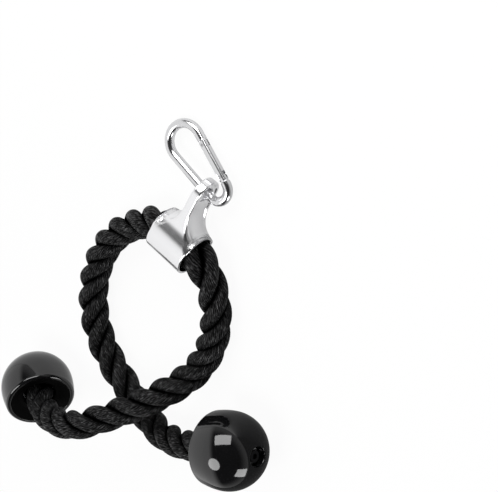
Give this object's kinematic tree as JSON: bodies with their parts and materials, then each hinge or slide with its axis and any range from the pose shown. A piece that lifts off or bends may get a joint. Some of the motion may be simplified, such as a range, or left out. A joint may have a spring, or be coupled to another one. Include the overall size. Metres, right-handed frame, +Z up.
{
  "type": "triceps rope attachment",
  "caption": "Thick twisted rope through a cast chrome hanger, with a spring-gate snap hook and a screwed-on ball at each rope end.",
  "frame": {"origin": "on the floor, under the middle of the part's box, with the part lying on its side", "axes": "+Z up from the floor; +Y from the balls to the hanger's lug and snap hook; +X along the hanger's sleeve, towards the end that the arched stretch of rope enters"},
  "size_m": [0.2713, 0.3872, 0.0776],
  "materials": {
    "chrome": "polished chrome plate on cast and drawn steel",
    "steel": "plain zinc-plated steel",
    "black_steel": "blackened steel of the screws",
    "rope": "black laid synthetic fibre, matt with a slight sheen",
    "ball": "glossy black moulding"
  },
  "bodies": {
    "rope_and_hanger": {"hanger": "chrome", "rope_front_stretch": "rope", "rope_rear_stretch": "rope", "rope_in_sleeve": "rope", "rope_tail_left": "rope", "rope_tail_right": "rope", "end_ball_left": "ball", "end_ball_right": "ball", "rope_ferrule_left": "steel", "rope_ferrule_right": "steel", "end_washer_left": "steel", "end_washer_right": "steel", "end_screw_left": "black_steel", "end_screw_right": "black_steel"},
    "snap_hook": {"snap_hook_body": "chrome", "gate_pivot_rivet": "steel"},
    "gate": {"snap_hook_gate": "chrome", "gate_latch_pin": "steel", "gate_plunger": "steel", "gate_spring": "steel"}
  },
  "joints": [
    {"name": "hook_swing", "type": "hinge", "parent": "rope_and_hanger", "child": "snap_hook", "pos_m": [-0.0344, 0.15278, 0.0112], "axis": [1, 0, 0], "range_deg": [-90, 95]},
    {"name": "gate_hinge", "type": "hinge", "parent": "snap_hook", "child": "gate", "pos_m": [-0.02882, 0.17316, 0.00735], "axis": [0, 0.1857, 0.9826], "range_deg": [0, 20], "stiffness_Nm_per_rad": 0.12, "springref_deg": -28.65}
  ]
}
